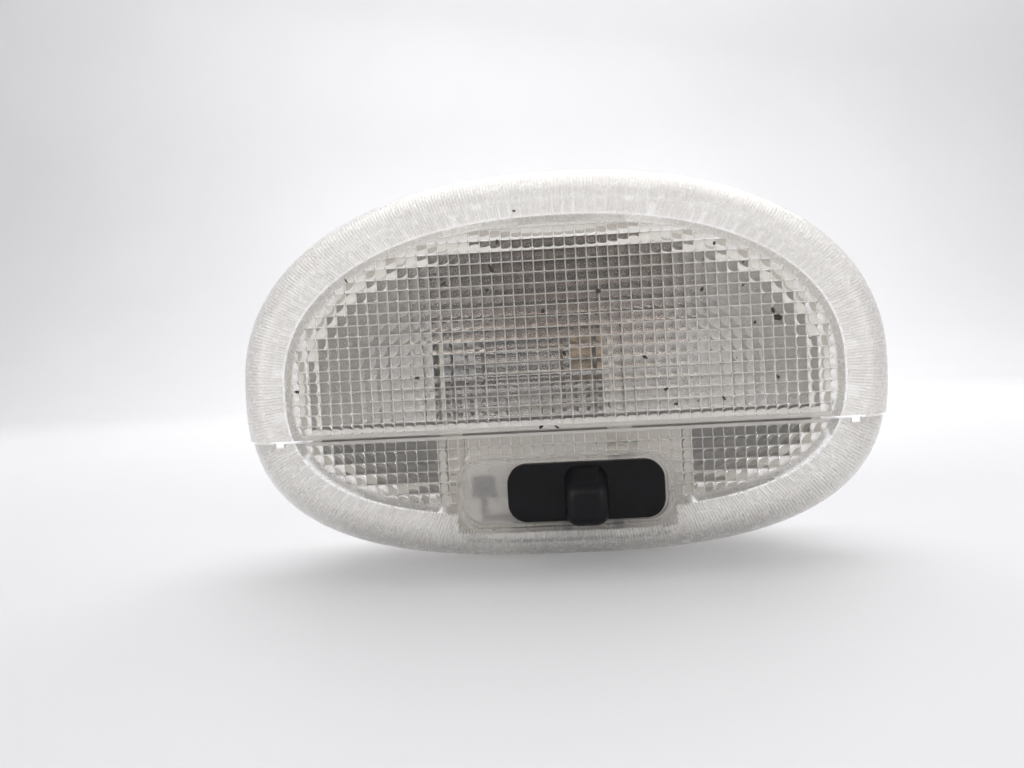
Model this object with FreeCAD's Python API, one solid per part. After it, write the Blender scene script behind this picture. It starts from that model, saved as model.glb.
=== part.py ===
import FreeCAD, Part
import math
import os
from FreeCAD import Vector

# A car's interior light. X runs along the face, -Y is the way the face looks, Z is up.
# The origin is on the face's widest line, in the plane of the rim that seats on the roof lining.
# All sizes are millimetres.

# Face: an oval whose upper and lower halves have their own height and squareness
FACE_WIDTH = 130.0
FACE_ABOVE = 41.8
FACE_BELOW = 36.3
SQUARE_ABOVE = 2.25
SQUARE_BELOW = 2.8
OVAL_STEPS = 28
FACE_DEPTH = 9.0
EDGE_ROUND = 7.0
LENS_WALL = 2.2

# The split between the upper and lower lens
SPLIT_Z = -10.15
SPLIT_GAP = 0.5
SPLIT_WALL = 0.8
SPLIT_WALL_BACK = -3.2
LOWER_STEP = 0.5
CORNER_CUT = 1.2
PRY_SLOT_X = 57.0
PRY_SLOT_WIDTH = 2.4
PRY_SLOT_HEIGHT = 0.9

# Lenslet grid on the inner face of both lenses
BORDER = 9.6
CELL_X = 2.1
CELL_Z = 2.2
CELL_RISE = 0.45
GRID_EDGE = 2.2
GRID_MARGIN = 0.8
GRID_GAP = 0.2

# Skirt that each lens slips over the housing with, and its hooks
SKIRT_WALL = 1.4
SKIRT_BACK = 2.0
SKIRT_FIT = 0.2
SEAT_LAP = 0.3
HOOK_X = 18.5
HOOK_Z = -16.5
HOOK_WIDTH = 8.0
HOOK_BACK = 6.5
HOOK_NOSE = 1.0
HOOK_NOSE_LENGTH = 1.5
HOOK_PLAY = 0.3

# Housing
HOUSING_WALL = 1.5
HOUSING_FRONT = -0.5
BAY_HALF = 25.5
BAY_INSET = 4.4
BAY_TOP = -11.0
BAY_WALL = 1.0
PLATE_BACK = 1.5
LUG_X = 33.0
LUG_WIDTH = 8.0
LUG_DROP = 4.5
LUG_FRONT = 3.5
LUG_THICK = 2.0

# Switch recess in the lower lens
RECESS_UP = 13.8
RECESS_FLOOR = -5.6
RECESS_FLOOR_WALL = 1.5
RECESS_WALL = 1.2
RECESS_LEDGE = 0.5
RECESS_LEDGE_DEPTH = 1.2
RECESS_LIP = 0.7
RECESS_LIP_RISE = 0.4
END_PLAY = 0.7
SIDE_PLAY = 0.3

# Switch slider
SLIDER_LENGTH = 31.1
SLIDER_HEIGHT = 11.5
SLIDER_ROUND = 3.8
SLIDER_THICK = 2.4
SLIDER_PLAY = 0.1
TRAVEL = 8.0
KNOB_WIDTH = 8.6
KNOB_PROUD = 6.0
KNOB_RAMP = 4.0
KNOB_TOE = 0.7
KNOB_DROP = 0.9
KNOB_ROUND = 1.4
LEG_SPACING = 10.0
LEG_WIDTH = 2.5
LEG_HEIGHT = 3.6
LEG_PLAY = 0.3
LEG_END = -2.4
LEG_HOOK = 0.9
LEG_HOOK_LENGTH = 1.0

# Contacts
STRIP = 0.5
SPRING_STRIP = 0.3
WIPER_ROW = 1.5
WIPER_WIDTH = 1.4
WIPER_SPAN = 14.0
WIPER_GAP = 0.1
PAD_WIDTH = 3.4
PAD_HEIGHT = 2.4
RUN = 1.0
RISE_WIDTH = 3.4
PIN_SPACING = 5.0
PIN_UP = 1.8
PIN_WIDTH = 2.4
PIN_END = 9.8
PIN_PLAY = 0.3
DOOR_RUN_UP = 1.9
TEE_GAP = 1.2
TEE_WIDTH = 4.5
TEE_HEIGHT = 3.7
TEE_DROP = 0.8
TEE_BAR = 5.2
TEE_BAR_HEIGHT = 0.7
TEE_STEM = 1.0
EAR_HEIGHT = 5.0
EAR_HALF = 3.5
EAR_HOLE = 4.0
FOOT_WIDTH = 5.0
FOOT_TOP = -9.4

# Bulb
BULB_X = -8.0
BULB_Y = 6.0
BULB_Z = 4.0
BULB_DIAMETER = 10.5
BULB_GLASS_LENGTH = 24.0
BULB_SHOULDER = 2.5
SHOULDER_STEPS = 4
BULB_NECK = 6.4
GLASS_WALL = 0.6
CAP_DIAMETER = 8.0
CAP_LENGTH = 5.5
CAP_LAP = 1.8
CAP_CONE = 2.0
CAP_TIP = 2.4
CAP_FIT = 0.05
FILAMENT_LENGTH = 12.0
FILAMENT_DIAMETER = 0.9
LEAD_DIAMETER = 0.5

# Reflector
SHEET = 0.5
REFLECTOR_FRONT = 0.0
REFLECTOR_DEPTH = 16.5
REFLECTOR_FIT = 0.3
REFLECTOR_GAP = 2.0
REFLECTOR_TAPER = 9.0
REFLECTOR_SILL = -8.6
REFLECTOR_SILL_RISE = 3.6
EAR_CLEAR = 0.8

# Rivets
RIVET_HEAD = 4.0
RIVET_HEAD_THICK = 0.8
RIVET_SHANK = 2.0
CONTACT_RIVET_HEAD = 2.6
CONTACT_RIVET_SHANK = 1.4
CONTACT_RIVET_UP = 2.4
RIVET_PLAY = 0.1
RIVET_GRIP = 1.2
BOSS_DIAMETER = 6.0
REFLECTOR_RIVET_X = 28.0
REFLECTOR_RIVET_Z = 10.0

# Connector shroud
SHROUD_HALF_X = 7.7
SHROUD_HALF_Z = 2.3
SHROUD_WALL = 1.0
SHROUD_BASE = 1.5
SHROUD_BACK = 14.6
SHROUD_FLANGE = 3.4
SHROUD_PEG = 2.0
SHROUD_PEG_FIT = 0.1

# Roof spring
ROOF_SPRING_WIDTH = 15.4
ROOF_SPRING_LEG = 9.0
ROOF_SPRING_BULGE = 4.5
ROOF_SPRING_SLIT = 0.8
ROOF_SPRING_END = 3.2
ROOF_SPRING_HEEL = 15.0
ROOF_SPRING_PEAK = 8.0

# Places worked out from the sizes above
LENS_BACK = LENS_WALL - FACE_DEPTH
SKIRT_INSET = BORDER
HOUSING_INSET = BORDER + SKIRT_WALL + SKIRT_FIT
ROOM_INSET = HOUSING_INSET + HOUSING_WALL
REFLECTOR_BACK = REFLECTOR_FRONT + REFLECTOR_DEPTH
ROOM_BACK = REFLECTOR_BACK + REFLECTOR_GAP
HOUSING_BACK = ROOM_BACK + HOUSING_WALL
BAY_BOTTOM = BAY_INSET - FACE_BELOW
BAY_ROOM_HALF = BAY_HALF - BAY_WALL
BAY_ROOM_BOTTOM = BAY_BOTTOM + BAY_WALL
FLOOR_BACK = RECESS_FLOOR + RECESS_FLOOR_WALL
RECESS_Z = RECESS_UP - FACE_BELOW
RECESS_HALF_X = (SLIDER_LENGTH + TRAVEL) / 2 + END_PLAY
RECESS_HALF_Z = SLIDER_HEIGHT / 2 + SIDE_PLAY
RECESS_ROUND = SLIDER_ROUND + SIDE_PLAY
SLIDER_X = TRAVEL / 2
SLIDER_BACK = RECESS_FLOOR - SLIDER_PLAY
SLIDER_FRONT = SLIDER_BACK - SLIDER_THICK
STRIP_FRONT = -STRIP
CAP_START = BULB_GLASS_LENGTH / 2 - CAP_LAP
CONE_START = CAP_START + CAP_LENGTH
EAR_SEAT = CONE_START + CAP_CONE * (CAP_DIAMETER - EAR_HOLE) / (CAP_DIAMETER - CAP_TIP)
RIGHT_EAR = BULB_X + EAR_SEAT
LEFT_EAR = BULB_X - EAR_SEAT - STRIP
CROSS_BOTTOM = BAY_TOP + PIN_PLAY
PIN_Z = BAY_BOTTOM + PIN_UP
CONTACT_RIVET_Z = PIN_Z + CONTACT_RIVET_UP
DOOR_RUN_Z = PIN_Z + DOOR_RUN_UP
SUPPLY_RUN = -BAY_ROOM_HALF + PIN_PLAY
TEE_X = SUPPLY_RUN + RISE_WIDTH + TEE_GAP + TEE_BAR / 2
TEE_BOTTOM = RECESS_Z - TEE_DROP
TEE_TOP = TEE_BOTTOM + TEE_HEIGHT


def box(x0, x1, y0, y1, z0, z1):
    return Part.makeBox(x1 - x0, y1 - y0, z1 - z0, Vector(x0, y0, z0))


def signed_power(value, power):
    return math.copysign(abs(value) ** power, value)


def oval(inset, y):
    """The face's outline, drawn in by inset, in the plane at y."""
    points = []
    for step in range(OVAL_STEPS):
        turn = 2 * math.pi * step / OVAL_STEPS
        upper = math.sin(turn) >= 0
        square = SQUARE_ABOVE if upper else SQUARE_BELOW
        height = (FACE_ABOVE if upper else FACE_BELOW) - inset
        x = (FACE_WIDTH / 2 - inset) * signed_power(math.cos(turn), 2 / square)
        z = height * signed_power(math.sin(turn), 2 / square)
        points.append(Vector(x, y, z))
    curve = Part.BSplineCurve()
    curve.interpolate(points, PeriodicFlag=True)
    return Part.Wire(curve.toShape())


def prism(inset, y0, y1):
    return Part.Face(oval(inset, y0)).extrude(Vector(0, y1 - y0, 0))


def ring(inset, wall, y0, y1):
    face = Part.makeFace([oval(inset, y0), oval(inset + wall, y0)], "Part::FaceMakerBullseye")
    return face.extrude(Vector(0, y1 - y0, 0))


def cap(inset, front, back, edge):
    """A solid with the face's outline and a rounded front edge."""
    solid = prism(inset, front, back)
    front_edges = [e for e in solid.Edges if e.BoundBox.YMax < front + edge / 10]
    return solid.makeFillet(edge, front_edges)


def rounded_slab(x, z, half_x, half_z, corner, y0, y1):
    slab = box(x - half_x, x + half_x, y0, y1, z - half_z, z + half_z)
    edges = [e for e in slab.Edges if e.BoundBox.YLength > (y1 - y0) / 2]
    return slab.makeFillet(corner, edges)


def rod(diameter, x, y, z, direction, length):
    return Part.makeCylinder(diameter / 2, length, Vector(x, y, z), direction)


def half_space(z0, z1):
    return box(-FACE_WIDTH, FACE_WIDTH, -FACE_WIDTH, FACE_WIDTH, z0, z1)


def above(z):
    return half_space(z, FACE_WIDTH)


def below(z):
    return half_space(-FACE_WIDTH, z)


def face_shell(inset):
    outer = cap(inset, -FACE_DEPTH, 0, EDGE_ROUND)
    inner = cap(inset + LENS_WALL, LENS_BACK, LENS_WALL, EDGE_ROUND - LENS_WALL)
    return outer.cut(inner)


def inside_oval(x, z, inset):
    square = SQUARE_ABOVE if z >= 0 else SQUARE_BELOW
    height = (FACE_ABOVE if z >= 0 else FACE_BELOW) - inset
    return abs(x / (FACE_WIDTH / 2 - inset)) ** square + abs(z / height) ** square < 1


def grid_cells(z_low, z_high, keep):
    """Cell places of the lenslet grid whose four corners lie in the window and pass keep."""
    columns = int(FACE_WIDTH / CELL_X)
    rows = int((z_high - z_low) / CELL_Z)
    inset = BORDER + SKIRT_WALL + GRID_MARGIN
    cells = set()
    for column in range(-columns // 2, columns // 2):
        for row in range(rows):
            xs = (column * CELL_X, (column + 1) * CELL_X)
            zs = (z_low + row * CELL_Z, z_low + (row + 1) * CELL_Z)
            if all(inside_oval(x, z, inset) and keep(x, z) for x in xs for z in zs):
                cells.add((column, row))
    return cells


def with_lenslets(lens, cells, z_low):
    """The lens with its flat inner face raised into faceted lenslets on the given cells."""
    facets = []
    border = []
    for column, row in sorted(cells):
        x0 = column * CELL_X
        x1 = x0 + CELL_X
        z0 = z_low + row * CELL_Z
        z1 = z0 + CELL_Z
        corners = [Vector(x, LENS_BACK, z) for x, z in ((x0, z0), (x1, z0), (x1, z1), (x0, z1))]
        beside = [(column, row - 1), (column + 1, row), (column, row + 1), (column - 1, row)]
        peak = Vector((x0 + x1) / 2, LENS_BACK + CELL_RISE, (z0 + z1) / 2)
        for side in range(4):
            start = corners[side]
            end = corners[(side + 1) % 4]
            facets.append(Part.Face(Part.makePolygon([start, end, peak, start])))
            if beside[side] not in cells:
                border.append(Part.makeLine(start, end))
    outlines = [Part.Wire(edges) for edges in Part.sortEdges(border)]
    window = Part.makeFace(outlines, "Part::FaceMakerBullseye")
    flats = [f for f in lens.Faces if f.BoundBox.YLength < CELL_RISE and is_lens_back(f)]
    flat = max(flats, key=lambda f: f.Area)
    others = [f for f in lens.Faces if not f.isSame(flat)]
    shell = Part.makeShell(others + flat.cut(window).Faces + facets)
    shell.sewShape()
    return Part.makeSolid(shell)


def is_lens_back(face):
    return abs(face.CenterOfMass.y - LENS_BACK) < CELL_RISE / 10


def skirt_hooks(zone):
    """Hooks that carry the skirt on behind its edge, in the places that zone cuts out."""
    arms = ring(SKIRT_INSET, SKIRT_WALL, SKIRT_BACK, HOOK_BACK)
    nose_reach = SKIRT_WALL + SKIRT_FIT + HOOK_NOSE
    noses = ring(SKIRT_INSET, nose_reach, HOOK_BACK - HOOK_NOSE_LENGTH, HOOK_BACK)
    return arms.fuse(noses).common(zone)


def hook_zone(play):
    """Where the hooks are: two over the top for the upper lens and one at each lower side."""
    half = HOOK_WIDTH / 2 + play
    zones = []
    for side in (-1, 1):
        x = side * HOOK_X
        zones.append(box(x - half, x + half, 0, FACE_WIDTH, 0, FACE_WIDTH))
    low = box(-FACE_WIDTH, FACE_WIDTH, 0, FACE_WIDTH, HOOK_Z - half, HOOK_Z + half)
    low = low.cut(box(-BAY_HALF, BAY_HALF, 0, FACE_WIDTH, -FACE_WIDTH, 0))
    return zones[0].fuse(zones[1]), low


def half_width(z):
    """How far the face's outline reaches to each side at height z."""
    square = SQUARE_ABOVE if z >= 0 else SQUARE_BELOW
    height = FACE_ABOVE if z >= 0 else FACE_BELOW
    return FACE_WIDTH / 2 * (1 - abs(z / height) ** square) ** (1 / square)


def corner_wedge(side, z):
    """What is taken off the upper lens's lower corner at one end of the split."""
    x = half_width(z)
    low = z - CORNER_CUT
    out = x + CORNER_CUT
    corners = [(x - 2 * CORNER_CUT, low), (out, z + 2 * CORNER_CUT), (out, low)]
    points = [Vector(side * a, -FACE_DEPTH, b) for a, b in corners]
    return Part.Face(Part.makePolygon(points + points[:1])).extrude(Vector(0, FACE_DEPTH + LENS_WALL, 0))


def upper_lens():
    edge_z = SPLIT_Z + SPLIT_GAP / 2
    shell = face_shell(0).common(above(edge_z))
    wall_top = edge_z + SPLIT_WALL
    z_low = wall_top + GRID_GAP
    z_high = FACE_ABOVE - BORDER - GRID_EDGE
    cells = grid_cells(z_low, z_high, lambda x, z: True)
    skirt = ring(SKIRT_INSET, SKIRT_WALL, LENS_BACK - SEAT_LAP, SKIRT_BACK).common(above(edge_z))
    wall = prism(SKIRT_INSET, LENS_BACK - SEAT_LAP, SPLIT_WALL_BACK)
    wall = wall.common(half_space(edge_z, wall_top))
    lens = shell.fuse([skirt, wall, skirt_hooks(hook_zone(0)[0])])
    for side in (-1, 1):
        lens = lens.cut(corner_wedge(side, edge_z))
    return with_lenslets(lens, cells, z_low)


def recess_slab(grow, y0, y1):
    return rounded_slab(
        0, RECESS_Z, RECESS_HALF_X + grow, RECESS_HALF_Z + grow, RECESS_ROUND + grow, y0, y1
    )


def lower_lens():
    edge_z = SPLIT_Z - SPLIT_GAP / 2
    shell = face_shell(LOWER_STEP).common(below(edge_z))
    wall_bottom = edge_z - SPLIT_WALL
    z_high = wall_bottom - GRID_GAP
    tub_wall = RECESS_LEDGE + RECESS_WALL
    beside_tub = RECESS_HALF_X + tub_wall + GRID_GAP
    over_tub = RECESS_Z + RECESS_HALF_Z + tub_wall + GRID_GAP
    z_low = z_high - CELL_Z * int((FACE_BELOW - BORDER + z_high) / CELL_Z)
    cells = grid_cells(z_low, z_high, lambda x, z: abs(x) > beside_tub or z > over_tub)
    skirt = ring(SKIRT_INSET, SKIRT_WALL, LENS_BACK - SEAT_LAP, SKIRT_BACK).common(below(edge_z))
    bay_half = BAY_HALF + SKIRT_FIT
    bay = box(-bay_half, bay_half, -FACE_DEPTH, FACE_DEPTH, -FACE_BELOW, SPLIT_Z)
    wall = prism(SKIRT_INSET, LENS_BACK - SEAT_LAP, SPLIT_WALL_BACK)
    wall = wall.common(half_space(wall_bottom, edge_z))
    tub = recess_slab(tub_wall, LENS_BACK - SEAT_LAP, FLOOR_BACK)
    lip = recess_slab(RECESS_LEDGE + RECESS_LIP, -FACE_DEPTH - RECESS_LIP_RISE, LENS_BACK)
    hooks = skirt_hooks(hook_zone(0)[1])
    lens = shell.fuse([skirt.cut(bay), wall, tub, lip, hooks])
    front = -FACE_DEPTH - RECESS_LIP_RISE
    lens = lens.cut(recess_slab(0, front - LENS_WALL, RECESS_FLOOR))
    lens = lens.cut(recess_slab(RECESS_LEDGE, front - LENS_WALL, front + RECESS_LEDGE_DEPTH))
    lens = lens.cut(leg_slot())
    for side in (-1, 1):
        x = side * PRY_SLOT_X
        half = PRY_SLOT_WIDTH / 2
        slot = box(-half, half, -FACE_DEPTH, LENS_WALL, -PRY_SLOT_HEIGHT, 0)
        slot.translate(Vector(x, 0, edge_z))
        lens = lens.cut(slot)
    return with_lenslets(lens, cells, z_low)


def leg_slot():
    half_x = (LEG_SPACING + LEG_WIDTH + TRAVEL) / 2 + LEG_PLAY
    half_z = LEG_HEIGHT / 2 + LEG_PLAY
    y0 = RECESS_FLOOR - RECESS_FLOOR_WALL
    y1 = FLOOR_BACK + RECESS_FLOOR_WALL
    return box(-half_x, half_x, y0, y1, RECESS_Z - half_z, RECESS_Z + half_z)


def switch_slider():
    x = SLIDER_X
    half_z = SLIDER_HEIGHT / 2
    plate = rounded_slab(x, RECESS_Z, SLIDER_LENGTH / 2, half_z, SLIDER_ROUND, SLIDER_FRONT, SLIDER_BACK)
    tip = SLIDER_FRONT - KNOB_PROUD
    top = RECESS_Z + half_z
    bottom = RECESS_Z - half_z
    side = [
        Vector(0, SLIDER_FRONT + SLIDER_THICK / 2, top),
        Vector(0, SLIDER_FRONT, top),
        Vector(0, tip, top - KNOB_RAMP),
        Vector(0, tip + KNOB_TOE, bottom - KNOB_DROP),
        Vector(0, SLIDER_FRONT + SLIDER_THICK / 2, bottom),
    ]
    knob = Part.Face(Part.makePolygon(side + side[:1])).extrude(Vector(KNOB_WIDTH, 0, 0))
    knob.translate(Vector(x - KNOB_WIDTH / 2, 0, 0))
    in_front = [e for e in knob.Edges if e.CenterOfMass.y < SLIDER_FRONT - KNOB_PROUD / 4]
    knob = knob.makeFillet(KNOB_ROUND, in_front)
    slider = plate.fuse(knob)
    for end in (-1, 1):
        leg_x = x + end * LEG_SPACING / 2
        half = LEG_WIDTH / 2
        leg = box(
            leg_x - half, leg_x + half, SLIDER_BACK, LEG_END,
            RECESS_Z - LEG_HEIGHT / 2, RECESS_Z + LEG_HEIGHT / 2,
        )
        hook_y = FLOOR_BACK + LEG_PLAY
        hook_half = LEG_HEIGHT / 2 + LEG_HOOK
        hook = box(
            leg_x - half, leg_x + half, hook_y, hook_y + LEG_HOOK_LENGTH,
            RECESS_Z - hook_half, RECESS_Z + hook_half,
        )
        slider = slider.fuse([leg, hook])
    return slider.removeSplitter()


def bent_strip(path, thick, width, along):
    """A strip of even thickness on the left of a two-dimensional path, extruded by width."""
    left = []
    for i, (a, b) in enumerate(path):
        turns = []
        for j in (i - 1, i):
            if 0 <= j < len(path) - 1:
                da = path[j + 1][0] - path[j][0]
                db = path[j + 1][1] - path[j][1]
                size = math.hypot(da, db)
                turns.append((-db / size, da / size))
        na = sum(t[0] for t in turns) / len(turns)
        nb = sum(t[1] for t in turns) / len(turns)
        scale = thick / (na * na + nb * nb)
        left.append((a + na * scale, b + nb * scale))
    loop = path + left[::-1]
    if along == "x":
        points = [Vector(0, a, b) for a, b in loop]
        sweep = Vector(width, 0, 0)
    else:
        points = [Vector(a, b, 0) for a, b in loop]
        sweep = Vector(0, 0, width)
    return Part.Face(Part.makePolygon(points + points[:1])).extrude(sweep)


def slider_contact():
    """A spring plate on the slider's legs with one bow for each row of pads."""
    half = WIPER_SPAN / 2
    base_back = LEG_END + SPRING_STRIP
    touch = STRIP_FRONT - WIPER_GAP
    height = WIPER_ROW + WIPER_WIDTH / 2
    x0 = SLIDER_X - half
    x1 = SLIDER_X + half
    contact = box(x0, x1, LEG_END, base_back, RECESS_Z - height, RECESS_Z + height)
    for row in (-1, 1):
        bow = bent_strip(
            [(-half / 2, LEG_END), (-WIPER_WIDTH / 2, touch - SPRING_STRIP),
             (WIPER_WIDTH / 2, touch - SPRING_STRIP), (half / 2, LEG_END)],
            SPRING_STRIP, WIPER_WIDTH, "z",
        )
        bow.translate(Vector(SLIDER_X, 0, RECESS_Z + row * WIPER_ROW - WIPER_WIDTH / 2))
        contact = contact.fuse(bow)
    return contact.removeSplitter()


def strip_box(x0, x1, z0, z1):
    return box(x0, x1, STRIP_FRONT, 0, z0, z1)


def lower_pad(x0, x1):
    return strip_box(x0, x1, LOWER_ROW - PAD_HEIGHT / 2, LOWER_ROW + PAD_HEIGHT / 2)


def pin(x):
    """A connector blade bent back from its strip, edge on to the plug."""
    half = PIN_WIDTH / 2
    return box(x - half, x + half, STRIP_FRONT, PIN_END, PIN_Z - STRIP / 2, PIN_Z + STRIP / 2)


def bulb_ear(x, z0):
    """A spring ear with the hole that a bulb cap's cone sits in."""
    ear = box(x, x + STRIP, STRIP_FRONT, BULB_Y + EAR_HALF, z0, BULB_Z + EAR_HEIGHT)
    hole = rod(EAR_HOLE, x - STRIP, BULB_Y, BULB_Z, Vector(1, 0, 0), 3 * STRIP)
    return ear.cut(hole)


def with_rivet_holes(strip, key):
    for x, z in CONTACT_RIVETS[key]:
        hole = CONTACT_RIVET_SHANK + 2 * RIVET_PLAY
        strip = strip.cut(rod(hole, x, STRIP_FRONT - STRIP, z, Vector(0, 1, 0), 3 * STRIP))
    return strip.removeSplitter()


UPPER_ROW = RECESS_Z + WIPER_ROW
LOWER_ROW = RECESS_Z - WIPER_ROW
COMMON_FOOT = RIGHT_EAR + FOOT_WIDTH
CONTACT_RIVETS = {
    "common": [(RIGHT_EAR + FOOT_WIDTH / 2, (UPPER_ROW + BAY_TOP) / 2)],
    "earth": [(PIN_SPACING, CONTACT_RIVET_Z)],
    "door": [(-PIN_SPACING, CONTACT_RIVET_Z)],
    "supply": [(SUPPLY_RUN + RISE_WIDTH / 2, (PIN_Z + BAY_TOP) / 2)],
}


def common_strip():
    left = -(TRAVEL + PAD_WIDTH) / 2
    bar = strip_box(left, COMMON_FOOT, UPPER_ROW - PAD_HEIGHT / 2, UPPER_ROW + PAD_HEIGHT / 2)
    foot = strip_box(RIGHT_EAR, COMMON_FOOT, UPPER_ROW - PAD_HEIGHT / 2, FOOT_TOP)
    ear = bulb_ear(RIGHT_EAR, CROSS_BOTTOM)
    return with_rivet_holes(bar.fuse([foot, ear]), "common")


def earth_strip():
    x = PIN_SPACING
    half = FOOT_WIDTH / 2
    pad_x = TRAVEL / 2
    pad = lower_pad(pad_x - PAD_WIDTH / 2, x + half)
    run = strip_box(x - half / 2, x + half, PIN_Z - STRIP / 2, LOWER_ROW)
    return with_rivet_holes(pad.fuse([run, pin(x)]), "earth")


def door_strip():
    pad_x = -TRAVEL / 2
    half = FOOT_WIDTH / 2
    run_low = DOOR_RUN_Z - RUN / 2
    run_high = DOOR_RUN_Z + RUN / 2
    pad = lower_pad(-PIN_SPACING - half, pad_x + PAD_WIDTH / 2)
    neck = strip_box(-PIN_SPACING - half, -PIN_SPACING + half, run_low, LOWER_ROW)
    run = strip_box(TEE_X - TEE_STEM / 2, PIN_WIDTH / 2, run_low, run_high)
    drop = strip_box(-PIN_WIDTH / 2, PIN_WIDTH / 2, PIN_Z - STRIP / 2, run_high)
    stem = strip_box(TEE_X - TEE_STEM / 2, TEE_X + TEE_STEM / 2, run_low, TEE_BOTTOM)
    bar = strip_box(TEE_X - TEE_BAR / 2, TEE_X + TEE_BAR / 2, TEE_BOTTOM - TEE_BAR_HEIGHT, TEE_BOTTOM)
    head = strip_box(TEE_X - TEE_WIDTH / 2, TEE_X + TEE_WIDTH / 2, TEE_BOTTOM, TEE_TOP)
    return with_rivet_holes(pad.fuse([neck, run, drop, stem, bar, head, pin(0)]), "door")


def supply_strip():
    x = -PIN_SPACING
    run = strip_box(SUPPLY_RUN, x + PIN_WIDTH / 2, PIN_Z - RUN / 2, PIN_Z + RUN / 2)
    rise = strip_box(SUPPLY_RUN, SUPPLY_RUN + RISE_WIDTH, PIN_Z - RUN / 2, FOOT_TOP)
    cross = strip_box(LEFT_EAR, SUPPLY_RUN + RISE_WIDTH, CROSS_BOTTOM, FOOT_TOP)
    ear = bulb_ear(LEFT_EAR, CROSS_BOTTOM)
    return with_rivet_holes(run.fuse([rise, cross, ear, pin(x)]), "supply")


def rivet(x, y, z, direction, head, shank, length):
    """A round-headed rivet whose head's flat side is at y and whose shank runs on from it."""
    outward = Vector(0, -direction, 0)
    dome = rod(head, x, y, z, outward, RIVET_HEAD_THICK)
    crown = y - direction * RIVET_HEAD_THICK
    rim = [e for e in dome.Edges if abs(e.BoundBox.Center.y - crown) < RIVET_HEAD_THICK / 4]
    dome = dome.makeFillet(RIVET_HEAD_THICK / 2, rim)
    return dome.fuse(rod(shank, x, y, z, Vector(0, direction, 0), length)).removeSplitter()


def contact_rivets():
    length = STRIP + RIVET_GRIP
    rivets = []
    for x, z in contact_rivet_places():
        rivets.append(rivet(x, STRIP_FRONT, z, 1, CONTACT_RIVET_HEAD, CONTACT_RIVET_SHANK, length))
    return Part.makeCompound(rivets)


def contact_rivet_places():
    return [place for group in CONTACT_RIVETS.values() for place in group]


def reflector_rivet_places():
    return [(side * REFLECTOR_RIVET_X, REFLECTOR_RIVET_Z) for side in (-1, 1)]


def reflector_rivets():
    front = REFLECTOR_BACK - SHEET
    length = SHEET + ROOM_BACK - REFLECTOR_BACK + RIVET_GRIP
    rivets = []
    for x, z in reflector_rivet_places():
        rivets.append(rivet(x, front, z, 1, RIVET_HEAD, RIVET_SHANK, length))
    return Part.makeCompound(rivets)


def dish(grow):
    """The reflector's hollow or outside: an oval that tapers to the back, on a sloping sill."""
    front = ROOM_INSET + REFLECTOR_FIT + grow
    back_y = REFLECTOR_BACK - grow
    mouth = oval(front, REFLECTOR_FRONT)
    bottom = oval(front + REFLECTOR_TAPER, back_y)
    body = Part.makeLoft([mouth, bottom], True, True)
    sill = [
        Vector(-FACE_WIDTH, REFLECTOR_FRONT, REFLECTOR_SILL + grow),
        Vector(-FACE_WIDTH, REFLECTOR_BACK, REFLECTOR_SILL + REFLECTOR_SILL_RISE + grow),
        Vector(-FACE_WIDTH, REFLECTOR_BACK, -FACE_WIDTH),
        Vector(-FACE_WIDTH, REFLECTOR_FRONT, -FACE_WIDTH),
    ]
    cutter = Part.Face(Part.makePolygon(sill + sill[:1])).extrude(Vector(2 * FACE_WIDTH, 0, 0))
    return body.cut(cutter)


def reflector():
    sheet = dish(0).cut(dish(SHEET))
    for x in (LEFT_EAR, RIGHT_EAR):
        top = REFLECTOR_SILL + REFLECTOR_SILL_RISE + SHEET
        slot = box(
            x - EAR_CLEAR, x + STRIP + EAR_CLEAR, REFLECTOR_FRONT - SHEET,
            BULB_Y + EAR_HALF + EAR_CLEAR, REFLECTOR_SILL - SHEET, top,
        )
        sheet = sheet.cut(slot)
    for x, z in reflector_rivet_places():
        hole = RIVET_SHANK + 2 * RIVET_PLAY
        sheet = sheet.cut(rod(hole, x, REFLECTOR_BACK - 2 * SHEET, z, Vector(0, 1, 0), 3 * SHEET))
    return sheet.removeSplitter()


def turned(profile):
    """A solid turned about the bulb's axis from (distance along it, radius) points."""
    points = [Vector(a, r, 0) for a, r in profile]
    face = Part.Face(Part.makePolygon(points + points[:1]))
    solid = face.revolve(Vector(0, 0, 0), Vector(1, 0, 0), 360)
    solid.translate(Vector(BULB_X, BULB_Y, BULB_Z))
    return solid


def bulb_glass():
    """A glass tube whose rounded shoulders draw in to the necks that the caps are fixed on."""
    end = BULB_GLASS_LENGTH / 2
    neck = BULB_NECK / 2
    swell = BULB_DIAMETER / 2 - neck
    half = [(end, neck)]
    for step in range(SHOULDER_STEPS + 1):
        turn = math.pi / 2 * (1 - step / SHOULDER_STEPS)
        along = CAP_START - BULB_SHOULDER * (1 - math.sin(turn))
        half.append((along, neck + swell * math.cos(turn)))
    outside = half + [(-a, r) for a, r in reversed(half)]
    inside = [(a, r - GLASS_WALL) for a, r in reversed(outside)]
    return turned(outside + inside)


def bulb_cap(side):
    """A cap over the glass's neck, with the cone that sits in its contact ear."""
    radius = CAP_DIAMETER / 2
    bore = BULB_NECK / 2 + CAP_FIT
    glass_end = BULB_GLASS_LENGTH / 2 + CAP_FIT
    start = CAP_START + CAP_FIT
    profile = [
        (start, bore), (start, radius), (CONE_START, radius), (CONE_START + CAP_CONE, CAP_TIP / 2),
        (CONE_START + CAP_CONE, 0), (glass_end, 0), (glass_end, bore),
    ]
    return turned([(side * a, r) for a, r in profile])


def bulb_filament():
    half = FILAMENT_LENGTH / 2
    return rod(FILAMENT_DIAMETER, BULB_X - half, BULB_Y, BULB_Z, Vector(1, 0, 0), FILAMENT_LENGTH)


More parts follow.
